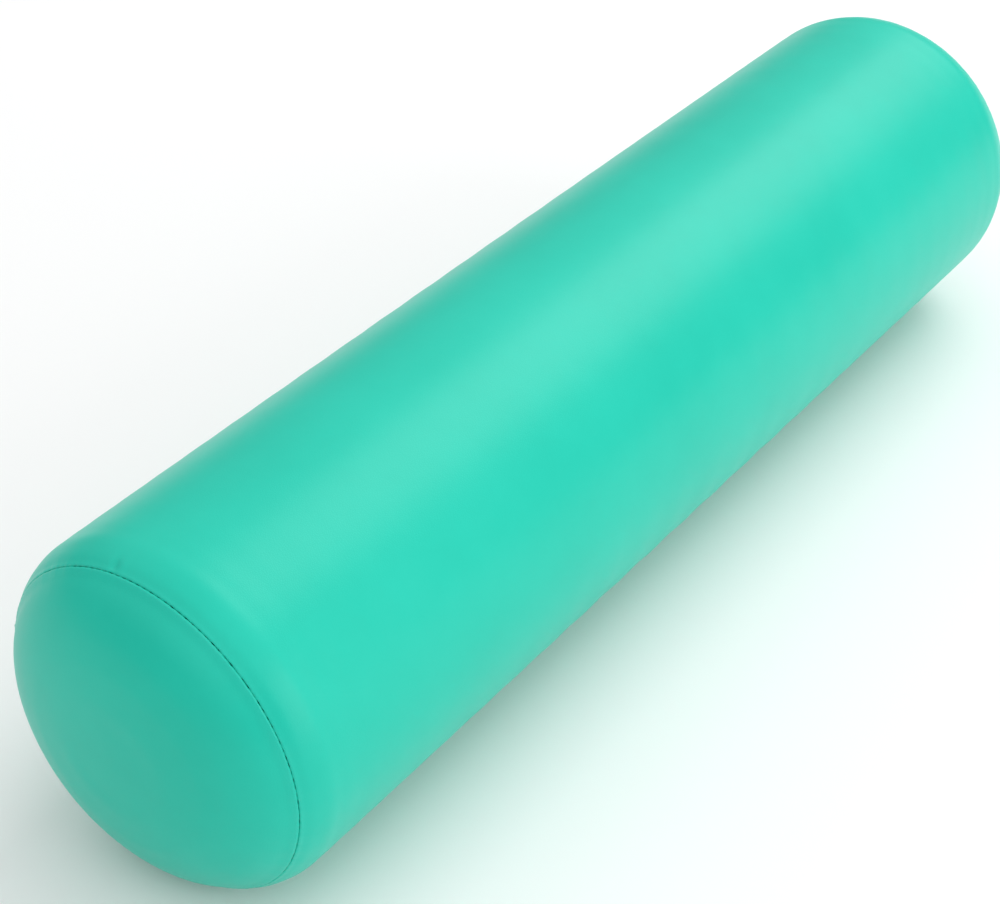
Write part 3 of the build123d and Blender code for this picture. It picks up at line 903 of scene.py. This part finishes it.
def web_angle(a, b):
    """Angle of a grid point once its square ring is bent round."""
    ring = np.maximum(np.abs(a), np.abs(b))
    ring = np.where(ring == 0, 1, ring)
    quarter = math.pi / 4
    right_side = quarter * b / ring
    top_side = 2 * quarter - quarter * a / ring
    left_side = 4 * quarter - quarter * b / ring
    bottom_side = 6 * quarter + quarter * a / ring
    sides = [a >= np.abs(b), b >= np.abs(a), -a >= np.abs(b)]
    return np.select(sides, [right_side, top_side, left_side], bottom_side)


def lay_disc(name, side, node):
    """A domed end disc with its edge turned in."""
    a, b = np.meshgrid(np.arange(-rings, rings + 1), np.arange(-rings, rings + 1), indexing="ij")
    ring = np.maximum(np.abs(a), np.abs(b))
    angle = web_angle(a, b)
    grid = disc_points(web_reach * ring / rings, angle, side)
    web = Rows(closed=True)
    web.points = grid.reshape(-1, 3).tolist()
    size = 2 * rings + 1
    for i in range(size - 1):
        for j in range(size - 1):
            k = i * size + j
            web.faces.append((k, k + 1, k + size + 1, k + size))
    rim = np.flatnonzero((ring == rings).ravel())
    rim = rim[np.argsort(angle.ravel()[rim] % (2 * math.pi), kind="stable")]
    web.last = rim.tolist() + [int(rim[0])]
    around = np.arange(8 * rings) * 2 * math.pi / (8 * rings)
    around_fine = np.arange(16 * rings) * 2 * math.pi / (16 * rings)
    outer = disc_reach - fine_zone * 0.6
    for distance in graded(web_reach, outer, 0.0015, 1.0, 0.0015)[1:]:
        web.add(disc_points(distance, around, side))
    for from_seam in fine_rows[::-1]:
        if from_seam < fine_zone * 0.55:
            web.add(disc_points(disc_reach - from_seam, around_fine, side))
    inner = (size - 1) ** 2
    faces = facing_out(web.points, web.faces[:inner]) + facing_out(web.points, web.faces[inner:])
    return make_piece(name, web.points, faces, "roll", "leatherette", [node], cloth_thickness)


front_disc = lay_disc("front_disc", -1, "front_end_disc")
rear_disc = lay_disc("rear_disc", 1, "rear_end_disc")
for piece in (barrel_panel, front_disc, rear_disc):
    lowest = [round(c, 4) for c in piece.bound_box[0]]
    print(piece.name, len(piece.data.polygons), "faces, lowest corner", lowest)

# %% [markdown]
# ## Threads are tubes with a path
# Every thread here is a thin tube swept along a path: the seam's two threads,
# the topstitching, the bartacks, and the zip's nylon coil too, which is one long
# spring. So one helper sweeps a tube, and each piece only works out its path.

# %% Sweep a tube along a path
def across(first, second):
    """Unit vectors square to two sets of vectors."""
    both = np.cross(first, second)
    return both / np.linalg.norm(both, axis=1, keepdims=True)


def tube(path, outward, radius, sides, closed=False):
    """Points and faces of a round thread that follows a path."""
    if closed:
        along = np.roll(path, -1, 0) - np.roll(path, 1, 0)
    else:
        along = np.gradient(path, axis=0)
    beside = across(along, outward)
    above = across(beside, along)
    turn = np.arange(sides) * 2 * math.pi / sides
    rim = np.cos(turn)[:, None] * beside[:, None] + np.sin(turn)[:, None] * above[:, None]
    rings = path[:, None] + radius * rim
    count = len(path)
    faces = []
    for i in range(count if closed else count - 1):
        here, there = i * sides, (i + 1) % count * sides
        for j in range(sides):
            k = (j + 1) % sides
            faces.append((here + j, here + k, there + k, there + j))
    if not closed:
        faces.append(tuple(range(sides))[::-1])
        faces.append(tuple(range((count - 1) * sides, count * sides)))
    return rings.reshape(-1, 3), faces


def joined(parts):
    """Several sets of points and faces as one."""
    points, faces, offset = [], [], 0
    for part_points, part_faces in parts:
        points.append(part_points)
        faces += [tuple(i + offset for i in face) for face in part_faces]
        offset += len(part_points)
    return np.concatenate(points), faces


# %% [markdown]
# ## The end seams' lockstitch
# A lockstitch is two threads, one each side of the turned-in edges. At every
# hole they dip in and hook round each other, and between the holes each lies flat
# along its own side. They sit a little below the fold, where a tight seam
# hides them.

# %% Sew the end seams
seam_thread_radius = 0.00025
stitch_depth = 0.0018
thread_lies = cloth_thickness + fold_gap + seam_thread_radius


def seam_threads(name, side):
    """Needle and bobbin threads of one end seam."""
    steps = np.arange(stitches * 14)
    angle = steps * 2 * math.pi / len(steps)
    hole = (stitches * angle / (2 * math.pi) + 0.5) % 1 - 0.5
    hooked = np.exp(-(hole / 0.11) ** 2)
    inside = np.array([math.cos(inward), math.sin(inward)])
    to_barrel = np.array([inside[1], -inside[0]])
    line = np.array([seam_x, seam_radius]) + inside * stitch_depth
    parts = []
    for lie in (1, -1):
        reach = lie * thread_lies * (1 - hooked) + lie * seam_thread_radius * 0.6 * hooked
        place = line + reach[:, None] * to_barrel
        place[:, 0] *= side
        path = spin(place, angle)
        outward = path - np.array([0, 0, axis_z])
        outward[:, 0] = 0
        parts.append(tube(path, outward, seam_thread_radius, 6, closed=True))
    points, faces = joined(parts)
    return make_piece(name, points, faces, "roll", "thread", [name.replace("lockstitch", "seam_thread")])


seam_threads("front_lockstitch", -1)
seam_threads("rear_lockstitch", 1)
print("each end seam has", stitches, "stitches")

# %% [markdown]
# ## The zip chain
# The chain is a coil zip: each side is one nylon filament wound like a spring
# and sewn to its tape. The turns of one side fall into the gaps of the other,
# and where the slider holds them apart they stand clear of its wedge.

# %% Wind the coils and weave the tapes
zip_out = Vector((0, math.cos(zip_angle), math.sin(zip_angle)))
zip_up = Vector((0, -math.sin(zip_angle), math.cos(zip_angle)))
coil_end = coil_high.x
coil_pitch = 0.0015
filament = 0.0003
coil_middle = roll_radius - 0.00155
coil_back = 0.0032
tape_top = roll_radius - 0.0028
tape_width = 0.0143
tape_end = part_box("zip_tape_upper")[1].x


def beside_zip(x, up_zip, height):
    """Points beside the zip: along it, up from its middle line, out from the axis."""
    base = np.stack([x, 0 * x, 0 * x + axis_z], -1)
    raised = base + np.asarray(up_zip)[..., None] * np.array(zip_up)
    return raised + np.asarray(height)[..., None] * np.array(zip_out)


def coil(name, side):
    """One nylon filament, wound from end to end of the chain."""
    steps = 14
    turns = int(2 * coil_end / coil_pitch) - 1
    phase = np.arange(turns * steps + 1) / steps
    x = phase * coil_pitch - turns * coil_pitch / 2 + side * coil_pitch / 4
    parted = np.clip((x - (pull_pin.x - 0.0035)) / 0.003, 0, 1)
    head = -0.00022 + 0.00095 * parted + filament
    middle = (coil_back - filament + head) / 2
    reach = (coil_back - filament - head) / 2
    swing = np.cos(2 * math.pi * phase)
    up_zip = side * (middle - reach * swing)
    flattened = (0.0012 - filament) * (1 - 0.25 * np.maximum(swing, 0) ** 3)
    height = coil_middle + flattened * np.sin(2 * math.pi * phase)
    path = beside_zip(x, up_zip, height)
    outward = np.tile(np.array([1.0, 0, 0]), (len(path), 1))
    points, faces = tube(path, outward, filament, 6)
    return make_piece(name, points, faces, "roll", "zip_coil", [name.replace("nylon", "zip")])


def tape(name, side):
    """Woven tape with a thicker corded edge under its coil."""
    rows = Rows(closed=False)
    near_coil = [0.0007, 0.0009, 0.0012, 0.0018, 0.0026, 0.0032, 0.0036, 0.0044]
    reach = np.array(near_coil + [0.006, 0.009, 0.012, 0.0007 + tape_width])
    cord = 0.00004 * np.exp(-((reach - 0.0038) / 0.0004) ** 2)
    for x in np.linspace(-tape_end, tape_end, 350):
        ripple = 0.00003 * np.sin(x * 2 * math.pi / 0.0035) * (reach > 0.008)
        radius = tape_top - 0.00005 + cord + ripple
        angle = zip_angle + side * reach / tape_top
        rows.add(spin(np.stack([np.full(len(reach), x), radius], -1), angle))
    faces = facing_out(rows.points, rows.faces)
    return make_piece(name, rows.points, faces, "roll", "zip_tape", [name.replace("woven", "zip")], 0.0004)


coil("nylon_coil_upper", 1)
coil("nylon_coil_lower", -1)
tape("woven_tape_upper", 1)
tape("woven_tape_lower", -1)
print("coil turns on each side:", int(2 * coil_end / coil_pitch) - 1)

# %% [markdown]
# ## Topstitching and bartacks
# Two rows of topstitches hold the hems to the tapes. A topstitch is a short
# length of thread that dips into the cloth at both ends. Each end of the zip is
# locked by a bartack, a thread taken back and forth over itself many times.

# %% Topstitch the hems and tack the ends
top_thread = 0.00026
stitch_pitch = 0.0035
stitch_line = 0.009


def topstitches(name, side):
    """A row of stitches that lies on the finished leatherette."""
    count = int((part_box(name.replace("sewn_topstitch", "zip_topstitch"))[1].x * 2) / stitch_pitch) + 1
    parts = []
    share = np.linspace(-1, 1, 9)
    dip = 0.62 * np.abs(share) ** 6
    for i in range(count):
        x = (i - (count - 1) / 2) * stitch_pitch + share * stitch_pitch * 0.43
        angle = zip_angle + side * stitch_line / roll_radius + 0 * x
        path = barrel_points(x, angle, top_thread * (2.6 * dip - 0.75))
        outward = np.stack([0 * x, np.cos(angle), np.sin(angle)], -1)
        parts.append(tube(path, outward, top_thread, 6))
    points, faces = joined(parts)
    stood_in_for = [name.replace("sewn_topstitch", "zip_topstitch")]
    return make_piece(name, points, faces, "roll", "thread", stood_in_for)


def bartack(name, side):
    """A thread taken back and forth across the end of the opening."""
    length, width, passes = 0.017, 0.002, 38
    middle = side * (bartack_low.x + bartack_high.x) / 2
    step = np.arange(passes * 6 + 1) / 6
    sway = np.sin(math.pi * step)
    sway = np.sign(sway) * np.abs(sway) ** 0.6
    x = middle + sway * (width / 2 - 0.0002)
    angle = zip_angle + (step / passes - 0.5) * (length - 0.0006) / roll_radius
    dip = np.abs(sway) ** 8
    path = barrel_points(x, angle, 0.00045 * dip - 0.00012)
    outward = np.stack([0 * x, np.cos(angle), np.sin(angle)], -1)
    points, faces = tube(path, outward, 0.00021, 6)
    return make_piece(name, points, faces, "roll", "thread", [name.replace("_sewn", "")])


topstitch_rows = [topstitches("sewn_topstitch_upper", 1), topstitches("sewn_topstitch_lower", -1)]
bartack("front_sewn_bartack", -1)
bartack("rear_sewn_bartack", 1)
print("topstitch rows", [len(row.data.polygons) for row in topstitch_rows])

# %% [markdown]
# ## The stuffing
# Nobody sees it with the cover shut, but it is what gives the roll its shape, so
# it is all here: a turned foam core, wadding rolled round it, and a domed pad at
# each end. Each is an outline spun round the axis, then made a little uneven.

# %% Turn the foam core
core_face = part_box("foam_core")[1].x
core_radius = (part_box("foam_core")[1].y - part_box("foam_core")[0].y) / 2
core_corner = 0.020
spun_points = 128
lump_waves = np.random.default_rng(3)
lump_terms = [(lump_waves.uniform(-40, 40), int(lump_waves.integers(1, 9)), lump_waves.uniform(0, 6.28))
              for _ in range(12)]


def lumps(x, angle):
    """Soft unevenness over a spun surface, between about -1 and 1."""
    return sum(np.sin(a * x + n * angle + phase) for a, n, phase in lump_terms) / 5


def spun(name, outline, slot, node_name, unevenness, shaped=None):
    """Spin an outline of (x, radius) rows round the axis. Rows on the axis become one point."""
    angle = np.arange(spun_points) * 2 * math.pi / spun_points
    lifted = np.array([0, 0, 0.0016])
    points, faces, last = [], [], None
    closed = outline[0][1] > 0
    rows = list(outline) + ([outline[0]] if closed else [])
    first = None
    for number, (x, radius) in enumerate(rows):
        if radius <= 0:
            ids = [len(points)]
            points.append((x, 0, axis_z))
        elif closed and number == len(rows) - 1:
            ids = first
        else:
            ids = list(range(len(points), len(points) + spun_points))
            around = radius + unevenness * lumps(x, angle)
            if shaped:
                around = shaped(x, around, angle)
            ring = spin(np.stack([0 * angle + x, around], -1), angle)
            if slot == "wadding":
                ring = press_flat(ring - lifted) + lifted
            points.extend(ring.tolist())
        if last is not None:
            for j in range(spun_points):
                k = (j + 1) % spun_points
                corners = [last[j % len(last)], last[k % len(last)], ids[k % len(ids)], ids[j % len(ids)]]
                faces.append(tuple(dict.fromkeys(corners)))
        first = first or ids
        last = ids
    return make_piece(name, points, facing_out(points, faces), "roll", slot, [node_name], 0.0)


def core_round(grow, start, end, count=10):
    """Points round the core's corner, between two angles in degrees."""
    turn = np.radians(np.linspace(start, end, count))
    middle = np.array([core_face - core_corner, core_radius - core_corner])
    return middle + (core_corner + grow) * np.stack([np.cos(turn), np.sin(turn)], -1)


flat_radii = np.linspace(0.004, core_radius - core_corner, 10)
half_core = [(core_face, 0.0)] + [(core_face, r) for r in flat_radii[:-1]]
half_core += core_round(0, 0, 90).tolist()
half_core += [(x, core_radius) for x in np.linspace(core_face - core_corner, 0, 26)[1:]]
core_outline = half_core + [(-x, r) for x, r in half_core[-2::-1]]
spun("cut_foam_core", core_outline, "foam", "foam_core", 0.00006)

# %% Roll the wadding and lay the end pads
under_cover = 0.0015
seam_clear = 0.0025
core_clear = 0.0003
short_of_seam = 0.0045
tape_bed_half, tape_bed_end = 0.0195, 0.2645
slider_bed_half, slider_bed_end = 0.0058, 0.2555
fin = np.array([math.cos(inward), math.sin(inward)])
seam_place = np.array([seam_x, seam_radius])
barrel_side = np.array([fin[1], -fin[0]])


def hollow_for_zip(x, radius, angle):
    """Wadding is pressed down in a bed under the tapes, deeper under the slider."""
    outside = radius > core_radius + 0.003
    off = (angle - zip_angle + math.pi) % (2 * math.pi) - math.pi
    off = np.abs(off) * roll_radius
    beyond_tape = 1 + np.exp((abs(x) - tape_bed_end) / 0.0008)
    beyond_slider = 1 + np.exp((abs(x) - slider_bed_end) / 0.0008)
    under_tape = 1 / (1 + np.exp((off - tape_bed_half) / 0.0006)) / beyond_tape
    under_slider = 1 / (1 + np.exp((off - slider_bed_half) / 0.0004)) / beyond_slider
    bed = roll_radius - 0.0040 - 0.0012 * under_slider
    lowered = np.minimum(radius, radius + (bed - radius) * under_tape)
    return np.where(outside, lowered, radius)


straight_end = barrel_steps[0][0]
on_shoulder = np.linspace(straight_end, barrel_reach - short_of_seam, 8)[1:]
outer_places = np.r_[np.linspace(0, straight_end, 60), on_shoulder]
outer, outer_normal = barrel_at(outer_places)
outer = outer - under_cover * outer_normal
wall = [seam_place + barrel_side * seam_clear + fin * depth for depth in (0.004, 0.007, 0.010, 0.0125)]
inner_places = np.linspace(core_face - core_corner, 0, 40)[1:]
inner = core_round(core_clear, 47, 90).tolist() + [(x, core_radius + core_clear) for x in inner_places]
half_wrap = [tuple(p) for p in outer] + [tuple(p) for p in wall] + [tuple(p) for p in inner]
wrap_outline = [(x, r) for x, r in half_wrap] + [(-x, r) for x, r in half_wrap[-2:0:-1]]
spun("rolled_wadding", wrap_outline, "wadding", "wadding_wrap", 0.00014, hollow_for_zip)


def end_pad(name, side, node_name):
    """Domed pad that fills an end disc."""
    dome_places = np.linspace(0.004, disc_reach - short_of_seam, 22)
    dome, dome_normal = disc_at(dome_places, 1)
    dome = dome - (under_cover + 0.0001) * dome_normal
    wall = [seam_place - barrel_side * seam_clear + fin * depth for depth in (0.004, 0.008, 0.012, 0.0142)]
    back_radii = np.linspace(core_radius - core_corner, 0.004, 9)[1:]
    back = core_round(core_clear, 31, 0).tolist() + [(core_face + core_clear, r) for r in back_radii]
    outline = [(crown_x - under_cover, 0.0)] + [tuple(p) for p in dome] + [tuple(p) for p in wall]
    outline += [tuple(p) for p in back] + [(core_face + core_clear, 0.0)]
    return spun(name, [(side * x, r) for x, r in outline], "wadding", node_name, 0.00008)


end_pad("front_domed_pad", -1, "front_wadding_pad")
end_pad("rear_domed_pad", 1, "rear_wadding_pad")

# %% [markdown]
# ## Metal
# The slider, its pull and the stops are hard parts whose solid shapes are already
# right, so they keep them and only take the nickel finish.

# %% Plate the metal parts
for name in ("zip_slider_body", "zip_pull_tab", "zip_top_stops", "zip_bottom_stop"):
    for holder in frame["nodes"][name].material_slots:
        holder.material = nickel.material
    print(name, "has", len(frame["nodes"][name].material_slots), "slot")
